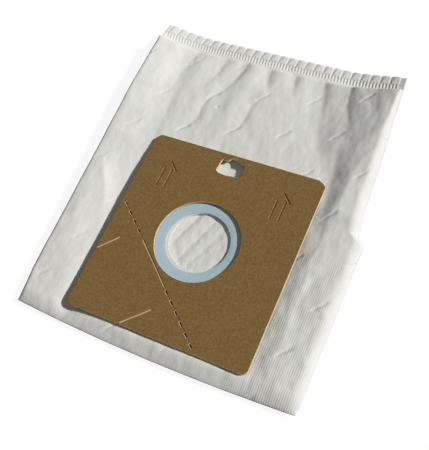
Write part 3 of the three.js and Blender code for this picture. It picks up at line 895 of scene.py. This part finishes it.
@dataclass
class FleeceBag:
    """The bag: one folded sheet, point-bonded in short dashes and closed by a scalloped weld."""

    form: BagForm = field(default_factory=BagForm)
    finish: PointBondedFleece = field(default_factory=PointBondedFleece)
    fold_share: float = 8.0 / 234.0
    even_over: Point = (40.0, 10.0)
    seam_across: int = 468
    seam_along: int = 18
    seam_back_along: int = 6
    seam_end_rows: float = 4.0
    tabs: int = 26
    ticks_per_tab: int = 3
    tick_depth: float = 0.5
    tick_length: float = 5.6
    tick_start: float = 0.7
    tick_end: float = 0.8
    tick_power: float = 1.5
    tick_slant: Point = (-0.28, -0.1)
    tab_pitch: float = 7.5
    tab_height: float = 0.95
    tab_floor: float = 0.3
    tab_crest: Point = (0.2, 0.55)
    tab_slope: float = 0.35
    tab_gap: Point = (0.9, 0.95)
    tab_round: float = 1.6
    scallop: float = 0.8
    plain_left: float = 0.012
    plain_right: float = 0.022
    seam_edge: float = 0.8
    seam_fold: float = 3.0
    left_fold: float = 3.2
    bottom_fold: float = 12.0
    lining_end: float = 2.0
    tighter: float = 0.9
    least_fold: float = 0.3
    inlet_radius: float = 21.2
    # The cloth's hole lies a little off the hole in the card
    inlet_shift: Point = (0.0, 1.3)
    inlet_sides: int = 96
    inlet_rim: float = 3.0
    slack_rim: float = 6.0
    dashes_at: DashLattice = field(default_factory=DashLattice)
    dash_cells: int = 9
    dash_depth: float = 0.35
    dash_spread: float = 1.7
    back_dashes: float = 0.6
    dust_end: float = 4.0
    least_gap: float = 0.06
    dome_height: float = 5.15
    dome_reach: float = 60.0
    slack_folds: tuple[Crest, ...] = (
        ((-3, -14, 0.5, 2), (-5.5, -22.6, 0.9, 2), (-10, -34, 0.9, 2), (-14.3, -45.7, 0.7, 2), (-17, -52, 0.2, 2)),
        ((8, -18, 0.5, 3), (5.7, -25.7, 0.7, 3), (0, -40, 0.8, 3), (-5.1, -54.2, 0.7, 3), (-8, -62, 0.2, 3)),
        ((16, -22, 0.2, 3), (13, -34, 0.5, 3), (8, -46, 0.6, 3), (3, -58, 0.4, 3), (0, -64, 0.2, 3)),
        ((-12, -49, 0.3, 2), (-6, -57, 0.4, 2), (-2, -62, 0.3, 2)),
    )
    slack_cuts: int = 3
    slack_wrinkle: float = 0.22
    slack_finer: float = 3.0
    weld_gap: float = 0.02
    sharp: float = math.radians(70.0)

    def dashes(self, x: Array, y: Array) -> Array:
        """Finds how deep the quilting dashes are pressed in.

        Args:
            x: Places across the bag.
            y: Places along the bag.

        Returns:
            The depth at each place.
        """
        depth = np.zeros_like(x)
        lattice = self.dashes_at
        ux, uy = lattice.direction
        taper_start, taper_end = (share * lattice.length for share in lattice.taper)
        span = range(-self.dash_cells, self.dash_cells + 1)
        for i, k in ((i, k) for i in span for k in span):
            off_x = x - (lattice.origin[0] + i * lattice.step[0] + k * lattice.row[0])
            off_y = y - (lattice.origin[1] + i * lattice.step[1] + k * lattice.row[1])
            along, aside = np.abs(off_x * ux + off_y * uy), off_y * ux - off_x * uy
            away = np.maximum(aside * lattice.steep_wall, -aside * lattice.slow_wall)
            ends = 1.0 - smooth(taper_start, taper_end, along)
            depth = np.maximum(depth, self.dash_depth * ends * (1.0 - smooth(0.0, self.dash_spread, away)))
        return depth

    def dome(self, x: Array, y: Array) -> Array:
        """Finds the height of the back panel that bulges up under the inlet, with its slack folds.

        Args:
            x: Places across the bag.
            y: Places along the bag.

        Returns:
            The height over the flat back at each place.
        """
        from_inlet = np.hypot(x - self.form.card_x, y - self.form.inlet_y)
        rise = 1.0 - smooth(self.inlet_radius + self.slack_rim, self.dome_reach, from_inlet)
        folds = sum(crease_depth(x, y, crease) for crease in self.slack_folds)
        slack = self.slack_wrinkle * self.form.wrinkles(self.slack_finer * x, self.slack_finer * y)
        return rise * (self.dome_height - self.form.ply - folds + slack)

    def surfaces(self, x: Array, y: Array) -> dict[Skin, Array]:
        """Finds the height of every skin away from the folds.

        Args:
            x: Places across the bag.
            y: Places along the bag.

        Returns:
            The heights by skin.
        """
        form = self.form
        ground = form.lift(x, y)
        front = ground + form.puff(x, y)
        dashes = self.dashes(x, y) * (1.0 - smooth(form.seam - form.shoulder, form.seam, y))
        back = ground + self.dome(x, y)
        back_lining = back + form.ply
        front_lining = np.maximum(front - form.ply, back_lining + self.least_gap)
        return {
            Skin.FRONT: front - dashes,
            Skin.BACK: back + self.back_dashes * dashes,
            Skin.FRONT_LINING: front_lining,
            Skin.BACK_LINING: back_lining,
        }

    def plan(self, across: Array, along: Array, inset: float, end: float) -> tuple[Array, Array]:
        """Spreads even steps over the bag's outline, closer together round its folds.

        Args:
            across: Shares of the width.
            along: Shares of the length.
            inset: How far the outline is drawn in.
            end: Where the last row lies along the bag.

        Returns:
            The places across and along the bag.
        """
        fold = self.fold_share
        start = self.form.bottom + inset
        y = start + (end - start) * crowd(along, fold)
        left, right = self.form.sides(y)
        even = smooth(self.form.seam - self.even_over[0], self.form.seam - self.even_over[1], y)
        low = np.where(across < 0.5, crowd(across, fold), 1.0 - crowd(1.0 - across, fold))
        share = mix(low, across, even)
        return mix(left + inset, right - inset, share), y

    def round_edges(self, x: Array, y: Array, inset: float, end: float) -> Array:
        """Finds the share of full height near the folds.

        Args:
            x: Places across the bag.
            y: Places along the bag.
            inset: How far the outline is drawn in.
            end: Where the last row lies along the bag.

        Returns:
            The share at each place: 0 at the edge, 1 past the fold's radius.
        """
        left, right = self.form.sides(y)
        toward_seam = smooth(self.form.seam - self.form.seam_taper, self.form.seam, y)
        fold = np.where(x < 0.0, self.left_fold, self.fold_share * (right - left))
        round_side = mix(fold, self.seam_fold, toward_seam)
        at_seam = smooth(self.form.seam - 2.0 * self.form.shoulder, self.form.seam, y)
        radius = mix(round_side, self.seam_edge, at_seam) - self.tighter * inset
        side = np.minimum(x - left, right - x) - inset
        low = y - self.form.bottom - inset
        shape = pressed_fold(side, np.maximum(radius, self.least_fold)) * pressed_fold(low, self.bottom_fold)
        return shape * quarter_round(end - y, self.lining_end) if inset > 0.0 else shape

    def skin(self, which: Skin) -> bmesh.types.BMesh:
        """Lays one skin of the tube: a grid spread over the outline and raised to its height.

        Args:
            which: The skin to make.

        Returns:
            Its mesh in millimetres, open at its border.
        """
        inset = self.form.ply if which.is_lining else 0.0
        end = self.form.seam - (self.dust_end if which.is_lining else 0.0)
        body = bmesh.new()
        bmesh.ops.create_grid(body, x_segments=which.across, y_segments=which.along, size=0.5)
        split_border(body, which.side_cuts, which.near_cuts, which.far_cuts)
        flat = points_of(body)
        x, y = self.plan(flat[:, 0] + 0.5, flat[:, 1] + 0.5, inset, end)
        place_points(body, np.column_stack((x, y, np.zeros_like(x))))
        if which.is_front:
            self.cut_inlet(body)
        if which is Skin.BACK_LINING:
            self.refine_slack(body)
        flat = points_of(body)
        x, y = flat[:, 0].copy(), flat[:, 1].copy()
        face = self.surfaces(x, y)[which]
        middle = self.form.lift(x, y) + np.minimum(self.form.fold_height, self.form.puff(x, y) / 2.0)
        height = mix(middle, face, self.round_edges(x, y, inset, end))
        place_points(body, np.column_stack((x, y + self.form.bow_shift(x, y), height)))
        if which.is_front == which.is_lining:
            bmesh.ops.reverse_faces(body, faces=body.faces)
        return body

    def refine_slack(self, body: bmesh.types.BMesh) -> None:
        """Divides the lining finely where it shows through the inlet.

        Args:
            body: The lining, before it gets its heights.
        """
        centre = Vector((self.form.card_x, self.form.inlet_y, 0.0))
        reach = self.inlet_radius + self.slack_rim
        inside = [e for e in body.edges if all((v.co - centre).length < reach for v in e.verts)]
        bmesh.ops.subdivide_edges(body, edges=inside, cuts=self.slack_cuts, use_grid_fill=True)

    def cut_inlet(self, body: bmesh.types.BMesh) -> None:
        """Cuts the inlet hole into a flat skin and gives it a round edge.

        Args:
            body: The skin, before it gets its heights.
        """
        shift_x, shift_y = self.inlet_shift
        centre = Vector((self.form.card_x + shift_x, self.form.inlet_y + shift_y, 0.0))
        reach = self.inlet_radius + self.inlet_rim
        inside = [v for v in body.verts if (v.co - centre).length < reach]
        bmesh.ops.delete(body, geom=inside, context="VERTS")
        rough = [e for e in body.edges if e.is_boundary and (e.verts[0].co - centre).length < 2.0 * reach]
        turn = Matrix.Translation(centre)
        made = bmesh.ops.create_circle(body, segments=self.inlet_sides, radius=self.inlet_radius, matrix=turn)
        clean = list({e for v in made["verts"] for e in v.link_edges})
        filled = bmesh.ops.triangle_fill(body, use_beauty=True, edges=rough + clean)
        faces = [f for f in filled["geom"] if isinstance(f, bmesh.types.BMFace)]
        for face in faces:
            face.normal_update()
        bmesh.ops.reverse_faces(body, faces=[f for f in faces if f.normal.z < 0.0])

    def seam_strip(self, front: bool) -> bmesh.types.BMesh:
        """Lays one side of the weld: fine ticks across the seam, then rounded tabs with a scalloped edge.

        Args:
            front: True for the upper side.

        Returns:
            Its mesh in millimetres, open at its border.
        """
        form = self.form
        body = bmesh.new()
        along = self.seam_along if front else self.seam_back_along
        bmesh.ops.create_grid(body, x_segments=self.seam_across, y_segments=along, size=0.5)
        split_border(body, self.seam_along // along - 1, 0, 0)
        flat = points_of(body)
        across, along = flat[:, 0] + 0.5, 1.0 - crowd(0.5 - flat[:, 1], self.seam_end_rows / self.seam_along)
        y = form.seam + along * form.seam_length
        left, right = form.sides(y)
        x = mix(left, right, across)
        start = form.seam + self.tick_length
        in_row = (across - self.plain_left) / (1.0 - self.plain_left - self.plain_right)
        in_tab = np.clip(in_row, 0.0, 1.0) * self.tabs % 1.0
        slant = mix(self.tick_slant[0], self.tick_slant[1], across) * (y - start) / self.tab_pitch
        tick = (0.5 - 0.5 * np.cos(2.0 * math.pi * self.ticks_per_tab * (in_tab - slant))) ** self.tick_power
        ticks = smooth(form.seam, form.seam + self.tick_start, y) * (1.0 - smooth(start - self.tick_end, start, y))
        tabs = smooth(start, start + self.tick_end, y)
        up = smooth(start, form.length / 2.0, y)
        crest = mix(self.tab_crest[0], self.tab_crest[1], up)
        behind = smooth(0.0, 1.0, (in_tab - crest) / (self.tab_gap[1] - crest))
        crown = smooth(0.0, 1.0, in_tab / crest) * (1.0 - self.tab_slope * behind)
        crown *= 1.0 - smooth(self.tab_gap[0], 1.0, in_tab)
        half = form.ply - self.tick_depth * ticks * (1.0 - tick)
        half = mix(half, mix(self.tab_floor, self.tab_height, crown), tabs)
        side = np.minimum(x - left, right - x)
        shape = pressed_fold(side, self.seam_edge) * quarter_round(form.length / 2.0 - y, self.tab_round)
        height = form.lift(x, y) + form.ply + (half if front else -half) * shape
        scallop = self.scallop * (1.0 - np.sin(math.pi * in_tab)) ** 3 * up
        place_points(body, np.column_stack((x, y - scallop, height)))
        if not front:
            bmesh.ops.reverse_faces(body, faces=body.faces)
        return body

    def build(self) -> bpy.types.Object:
        """Joins the skins into one closed cloth and dresses it.

        Returns:
            The bag, which replaces its plain solid.
        """
        body = bmesh.new()
        parts = [self.skin(which) for which in Skin]
        parts += [self.seam_strip(True), self.seam_strip(False)]
        for part in parts:
            sheet = bpy.data.meshes.new("sheet")
            part.to_mesh(sheet)
            part.free()
            body.from_mesh(sheet)
            bpy.data.meshes.remove(sheet)
        border = [v for v in body.verts if v.is_boundary]
        bmesh.ops.remove_doubles(body, verts=border, dist=self.weld_gap)
        rims = [e for e in body.edges if e.is_boundary]
        log.info("open edges at the inlet: %d", len(rims))
        bmesh.ops.bridge_loops(body, edges=rims)
        left = [e for e in body.edges if e.is_boundary or not e.is_manifold]
        log.info("edges left open: %d, faces: %d", len(left), len(body.faces))
        mark_sharp_edges(body, self.sharp)
        piece = finish_piece(body, "fleece_cloth", [self.finish.material()])
        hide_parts("fleece_bag")
        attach(piece, BODY)
        return piece


def crowd(share: Array, zone: float) -> Array:
    """Draws even steps together near 0, as the height of a quarter circle needs them.

    Args:
        share: Even shares from 0 to 1.
        zone: Part of them that is drawn together.

    Returns:
        The moved shares.
    """
    turned = zone * (1.0 - np.cos(0.5 * math.pi * np.clip(share / zone, 0.0, 1.0)))
    return np.where(share < zone, turned, share)


def points_of(body: bmesh.types.BMesh) -> Array:
    """Returns the places of a mesh's points, one row each."""
    return np.array([v.co[:] for v in body.verts])


def place_points(body: bmesh.types.BMesh, points: Array) -> None:
    """Moves the points of a mesh to the rows of an array."""
    for vertex, point in zip(body.verts, points):
        vertex.co = point


def split_border(body: bmesh.types.BMesh, side_cuts: int, near_cuts: int, far_cuts: int) -> None:
    """Divides the border of a unit grid so that it meets a finer one.

    Args:
        body: Grid from -0.5 to 0.5.
        side_cuts: Cuts in each edge of the left and right border.
        near_cuts: Cuts in each edge of the border at the bottom fold.
        far_cuts: Cuts in each edge of the border at the seam.
    """
    border = [e for e in body.edges if e.is_boundary]
    middles = {e: (e.verts[0].co + e.verts[1].co) / 2.0 for e in border}
    limit = 0.5 - 1e-5
    sides = [e for e in border if abs(middles[e].x) > limit]
    near = [e for e in border if middles[e].y < -limit]
    far = [e for e in border if middles[e].y > limit]
    for edges, cuts in ((sides, side_cuts), (near, near_cuts), (far, far_cuts)):
        if cuts > 0:
            bmesh.ops.subdivide_edges(body, edges=edges, cuts=cuts)


@dataclass
class CollarCard:
    """The die-cut collar: a board with a round hole, a notch, a tear line, scores and pressed arrows."""

    # Reach of each corner across and along, and 1 for a round one or more for one cut at a slant
    corners: tuple[Triple, ...] = ((6.0, 4.0, 1.6), (5.0, 5.0, 1.0), (5.0, 5.0, 1.0), (4.0, 4.0, 1.0))
    corner_sides: int = 8
    hole_diameter: float = 59.0
    hole_shift: Point = HOLE_SHIFT
    hole_sides: int = 120
    rim: float = 0.2
    rim_drop: float = 0.15
    arrow_depth: float = 0.5
    arrow_wall: float = 0.6
    score_depth: float = 0.45
    score_wall: float = 0.3
    face: KraftBoard = field(default_factory=KraftBoard)
    cut: CutBoardEdge = field(default_factory=CutBoardEdge)
    notch: tuple[Point, ...] = (
        (-11.3, 55.1), (-9.0, 53.6), (-3.3, 53.1), (1.4, 53.6), (6.9, 54.4), (7.6, 56.5), (7.3, 62.2), (6.7, 64.4),
        (2.4, 64.7), (1.7, 66.1), (-0.4, 67.5), (-2.9, 67.5), (-4.7, 66.5), (-6.1, 64.4), (-8.6, 64.2),
        (-10.1, 64.7), (-11.0, 61.5),
    )
    tear_start: Point = (-61.5, 10.9)
    tear_end: Point = (29.0, -68.4)
    tear_margin: float = 1.0
    slot_width: float = 1.1
    # Rows of slots along the tear line: share where a row starts, share for each slot, number of slots
    perforations: tuple[tuple[float, float, int], ...] = ((0.0, 0.067, 4), (0.622, 0.066, 6))
    slot_share: float = 0.42
    scored: Point = (0.272, 0.605)
    score_width: float = 1.4
    # Short scores: where each starts, and how far it runs across and along
    short_scores: tuple[tuple[Point, Point], ...] = (
        ((-64.2, -27.0), (11.8, 12.4)), ((-24.2, -69.0), (16.4, 16.0)),
    )
    bridge_score: float = 0.7
    bridge_gap: float = 0.2
    arrow_line: float = 1.6
    arrow_tips: tuple[Point, ...] = ((41.0, 53.6), (-44.5, 52.0))
    arrow_head: Point = (14.0, 7.0)
    arrow_shaft: float = 15.6
    shaft_drop: float = 3.2
    arrow_gap: float = 6.0
    sharp: float = math.radians(35.0)

    def outline(self, width: float, length: float) -> list[Point]:
        """Draws the outline: straight sides between rounded or cut corners.

        Args:
            width: Size across.
            length: Size along.

        Returns:
            The points of the outline in order.
        """
        points = []
        signs = ((1, 1), (-1, 1), (-1, -1), (1, -1))
        for quarter, ((sx, sy), (reach_x, reach_y, power)) in enumerate(zip(signs, self.corners)):
            for step in range(self.corner_sides + 1):
                angle = 0.5 * math.pi * step / self.corner_sides
                from_side = (math.cos(angle), math.sin(angle))
                out, up = from_side if quarter % 2 == 0 else from_side[::-1]
                points.append((
                    sx * (width / 2.0 - reach_x + reach_x * max(out, 0.0) ** power),
                    sy * (length / 2.0 - reach_y + reach_y * max(up, 0.0) ** power),
                ))
        return points

    def bar(self, start: Vector, end: Vector, width: float) -> list[Point]:
        """Draws a straight stroke between two points.

        Args:
            start: Its first end.
            end: Its other end.
            width: Its width.

        Returns:
            Its four corners in order.
        """
        along = (end - start).normalized()
        side = Vector((-along.y, along.x)) * width / 2.0
        return [tuple(start - side), tuple(end - side), tuple(end + side), tuple(start + side)]

    def slots(self) -> list[list[Point]]:
        """Draws the perforations, which go through the board.

        Returns:
            The outline of each.
        """
        start, end = Vector(self.tear_start), Vector(self.tear_end)
        found = []
        for low, step, count in self.perforations:
            for k in range(count):
                a = start.lerp(end, low + step * k)
                b = start.lerp(end, low + step * (k + self.slot_share))
                found.append(self.bar(a, b, self.slot_width))
        return found

    def scores(self) -> list[list[Point]]:
        """Draws the scored lines: half cuts that bare the pale pulp.

        Returns:
            The outline of each.
        """
        start, end = Vector(self.tear_start), Vector(self.tear_end)
        found = [self.bar(start.lerp(end, self.scored[0]), start.lerp(end, self.scored[1]), self.score_width)]
        for place, run in self.short_scores:
            found.append(self.bar(Vector(place), Vector(place) + Vector(run), self.score_width))
        gap = (1.0 - self.slot_share) * self.bridge_gap
        for first, step, count in self.perforations:
            for k in range(count if first + step * count < 1.0 else count - 1):
                a = start.lerp(end, first + step * (k + self.slot_share + gap))
                b = start.lerp(end, first + step * (k + 1.0 - gap))
                found.append(self.bar(a, b, self.bridge_score * self.score_width))
        return found

    def grooves(self) -> list[list[Point]]:
        """Draws the double arrows, which are pressed into the face.

        Returns:
            The outline of each head and each shaft.
        """
        found = []
        width, height = self.arrow_head
        for x, y in self.arrow_tips:
            found.append(self.chevron(x, y, width, height))
            top = y - height * (self.arrow_gap / width) - self.shaft_drop
            for side in (-self.arrow_gap / 2.0, self.arrow_gap / 2.0):
                shaft_top = Vector((x + side, top))
                found.append(self.bar(shaft_top, shaft_top - Vector((0.0, self.arrow_shaft)), self.arrow_line))
        return found

    def chevron(self, x: float, y: float, width: float, height: float) -> list[Point]:
        """Draws an arrow's open head.

        Args:
            x: Place of its tip across.
            y: Place of its tip along.
            width: Its size across.
            height: Its size along.

        Returns:
            The points of its outline in order.
        """
        slope = Vector((width / 2.0, height)).normalized()
        across = self.arrow_line / slope.x
        wing = Vector((width / 2.0, -height))
        end = Vector((slope.y, slope.x)) * self.arrow_line
        return [
            (x, y), (x - wing.x, y + wing.y), (x - wing.x + end.x, y + wing.y - end.y),
            (x, y - across), (x + wing.x - end.x, y + wing.y - end.y), (x + wing.x, y + wing.y),
        ]

    def is_on_tear(self, point: Vector) -> bool:
        """Tells whether a point of the board lies on the tear line, whose slit walls take the darker brown face
        finish instead of the cream cut finish as painted shade.

        Args:
            point: A place on the board, from the card's middle.

        Returns:
            True on the tear line.
        """
        start, end = Vector(self.tear_start), Vector(self.tear_end)
        across = (end - start).normalized().orthogonal()
        return abs((point.xy - start).dot(across)) < self.slot_width and start.x - self.tear_margin < point.x

    def build(self) -> bpy.types.Object:
        """Cuts, thickens and presses the board.

        Returns:
            The card, which replaces its plain solid.
        """
        low, high = box_mm("collar_card")
        size, middle = high - low, (high + low) / 2.0
        body = bmesh.new()
        through = [self.outline(size.x, size.y), list(self.notch), *self.slots()]
        edges = [draw_loop(body, points) for points in through]
        hole = bmesh.ops.create_circle(body, segments=self.hole_sides, radius=self.hole_diameter / 2.0,
                                       matrix=Matrix.Translation((*self.hole_shift, 0.0)))
        edges.append(list({e for v in hole["verts"] for e in v.link_edges}))
        scored = [draw_loop(body, points) for points in self.scores()]
        arrows = [draw_loop(body, points) for points in self.grooves()]
        every = [e for loop in edges + scored + arrows for e in loop]
        bmesh.ops.triangle_fill(body, use_beauty=True, edges=every)
        floors = []
        for loop in scored + arrows:
            filled = bmesh.ops.triangle_fill(body, use_beauty=True, edges=loop)
            floors.append([f for f in filled["geom"] if isinstance(f, bmesh.types.BMFace)])
        bared = [f for floor in floors[:len(scored)] for f in floor]
        pressed = [f for floor in floors[len(scored):] for f in floor]
        board = bmesh.ops.extrude_face_region(body, geom=list(body.faces))
        moved = [v for v in board["geom"] if isinstance(v, bmesh.types.BMVert)]
        bmesh.ops.translate(body, verts=moved, vec=(0.0, 0.0, self.rim_drop - size.z))
        bmesh.ops.recalc_face_normals(body, faces=body.faces)
        body.normal_update()
        walls = [f for f in body.faces if abs(f.normal.z) < 0.5]
        top = [f for f in body.faces if f.normal.z > 0.5]
        rim = bmesh.ops.inset_region(body, faces=top, thickness=self.rim, depth=self.rim_drop,
                                     use_even_offset=True)
        marks = ((bared, self.score_wall, self.score_depth), (pressed, self.arrow_wall, self.arrow_depth))
        for faces, wall, depth in marks:
            bmesh.ops.inset_region(body, faces=faces, thickness=wall, depth=-depth, use_even_offset=True)
        for face in walls:
            # Cut walls are cream pulp; the tear-line slit walls take the darker brown face finish as painted shade
            # in the narrow slits.
            painted_shade_slit = self.is_on_tear(face.calc_center_median())
            face.material_index = BoardFinish.FACE if painted_shade_slit else BoardFinish.CUT
        for face in [*rim["faces"], *bared]:
            face.material_index = BoardFinish.CUT
        top_z = max(v.co.z for v in body.verts)
        bmesh.ops.translate(body, verts=body.verts, vec=(middle.x, middle.y, high.z - top_z))
        left = [e for e in body.edges if not e.is_manifold]
        log.info("board faces %d, pressed %d, edges left open %d", len(body.faces), len(pressed), len(left))
        mark_sharp_edges(body, self.sharp)
        piece = finish_piece(body, "collar_board", [self.face.material(), self.cut.material()])
        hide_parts("collar_card")
        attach(piece, BODY)
        return piece


def draw_loop(body: bmesh.types.BMesh, points: list[Point]) -> list[bmesh.types.BMEdge]:
    """Draws a closed outline on the ground plane.

    Args:
        body: Mesh that gets the outline.
        points: Its corners in order.

    Returns:
        The new edges.
    """
    verts = [body.verts.new((x, y, 0.0)) for x, y in points]
    return [body.edges.new((a, b)) for a, b in zip(verts, verts[1:] + verts[:1])]


@dataclass
class SealRing:
    """The seal between card and bag: a flat foam ring with softly rounded edges."""

    edge: float = 0.3
    sides: int = 128
    bore: float = 44.0
    # The cloth under the ring gives, so that it lies lower than its solid and a little thinner
    glue_gap: float = 0.3
    squeeze: float = 0.2
    sharp: float = math.radians(40.0)
    finish: SealFoam = field(default_factory=SealFoam)

    def build(self) -> bpy.types.Object:
        """Turns the ring's section about the inlet's axis.

        Returns:
            The ring, which replaces its plain solid.
        """
        low, high = box_mm("seal_ring")
        for corner, squeeze in ((low, self.glue_gap), (high, self.glue_gap + self.squeeze)):
            corner.xy += Vector(HOLE_SHIFT)
            corner.z -= squeeze
        centre = (low + high) / 2.0
        inner, outer = self.bore / 2.0, (high.x - low.x) / 2.0
        body = bmesh.new()
        corners = [(inner, low.z), (outer, low.z), (outer, high.z), (inner, high.z)]
        verts = [body.verts.new((centre.x + r, centre.y, z)) for r, z in corners]
        section = [body.edges.new((a, b)) for a, b in zip(verts, verts[1:] + verts[:1])]
        bmesh.ops.spin(body, geom=verts + section, cent=(centre.x, centre.y, 0.0), axis=(0.0, 0.0, 1.0),
                       angle=2.0 * math.pi, steps=self.sides, use_merge=True)
        bmesh.ops.recalc_face_normals(body, faces=body.faces)
        rims = [e for e in body.edges if e.calc_face_angle(0.0) > self.sharp]
        bmesh.ops.bevel(body, geom=rims, offset=self.edge, segments=3, profile=0.5, affect="EDGES", material=-1)
        mark_sharp_edges(body, self.sharp)
        piece = finish_piece(body, "foam_ring", [self.finish.material()])
        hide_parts("seal_ring")
        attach(piece, BODY)
        return piece


@dataclass
class Studio:
    """Camera, lamp, sky light and ground, as the photograph has them."""

    camera_place: Triple = (148.3, -177.9, 386.7)
    camera_right: Triple = (0.8972, 0.4079, -0.1692)
    camera_up: Triple = (-0.2991, 0.8432, 0.4468)
    camera_back: Triple = (0.3249, -0.3502, 0.8785)
    lens: float = 51.52
    near_clip: float = 0.01
    toward_sun: Triple = (0.77, 0.36, 0.53)
    sun_strength: float = 3.9
    sun_angle: float = math.radians(5.0)
    sky_strength: float = 0.165
    ground_size: float = 6.0
    ground: StudioGround = field(default_factory=StudioGround)

    def place_camera(self) -> None:
        """Sets the camera at the photograph's viewpoint."""
        data = bpy.data.cameras.new("camera")
        data.lens = self.lens
        data.clip_start = self.near_clip
        camera = bpy.data.objects.new("camera", data)
        axes = Matrix((self.camera_right, self.camera_up, self.camera_back)).transposed()
        camera.matrix_world = Matrix.Translation(Vector(self.camera_place) * MM) @ axes.to_4x4()
        bpy.context.scene.collection.objects.link(camera)
        bpy.context.scene.camera = camera

    def place_lights(self) -> None:
        """Adds one low soft lamp from the right and an even sky."""
        lamp = bpy.data.lights.new("lamp", "SUN")
        lamp.energy = self.sun_strength
        lamp.angle = self.sun_angle
        sun = bpy.data.objects.new("lamp", lamp)
        sun.rotation_euler = Vector(self.toward_sun).to_track_quat("Z", "Y").to_euler()
        bpy.context.scene.collection.objects.link(sun)
        world = bpy.data.worlds.new("sky")
        world.use_nodes = True
        tree = world.node_tree
        tree.nodes.clear()
        path = add_node(tree, "ShaderNodeLightPath", {}, {})
        even, white = (
            add_node(tree, "ShaderNodeBackground", {}, {"Color": linear_colour("#FFFFFF"), "Strength": strength})
            for strength in (self.sky_strength, 1.0)
        )
        chosen = add_node(tree, "ShaderNodeMixShader", {}, {
            0: path.outputs["Is Camera Ray"], 1: even.outputs[0], 2: white.outputs[0],
        })
        add_node(tree, "ShaderNodeOutputWorld", {}, {"Surface": chosen.outputs[0]})
        bpy.context.scene.world = world

    def place_ground(self) -> None:
        """Lays the pale ground under the object."""
        body = bmesh.new()
        bmesh.ops.create_grid(body, x_segments=1, y_segments=1, size=self.ground_size / 2.0 / MM)
        ground = finish_piece(body, "ground", [self.ground.material()])

    def build(self) -> None:
        """Sets up the whole studio."""
        self.place_camera()
        self.place_lights()
        self.place_ground()
        bpy.context.scene.view_settings.view_transform = "Standard"


def main() -> None:
    """Builds the studio and the three pieces."""
    logging.basicConfig(level=logging.INFO, format="%(name)s: %(message)s")
    Studio().build()
    for part in (FleeceBag(), CollarCard(), SealRing()):
        piece = part.build()
        log.info("%s: %d faces", piece.name, len(piece.data.polygons))


if __name__ == "__main__":
    main()
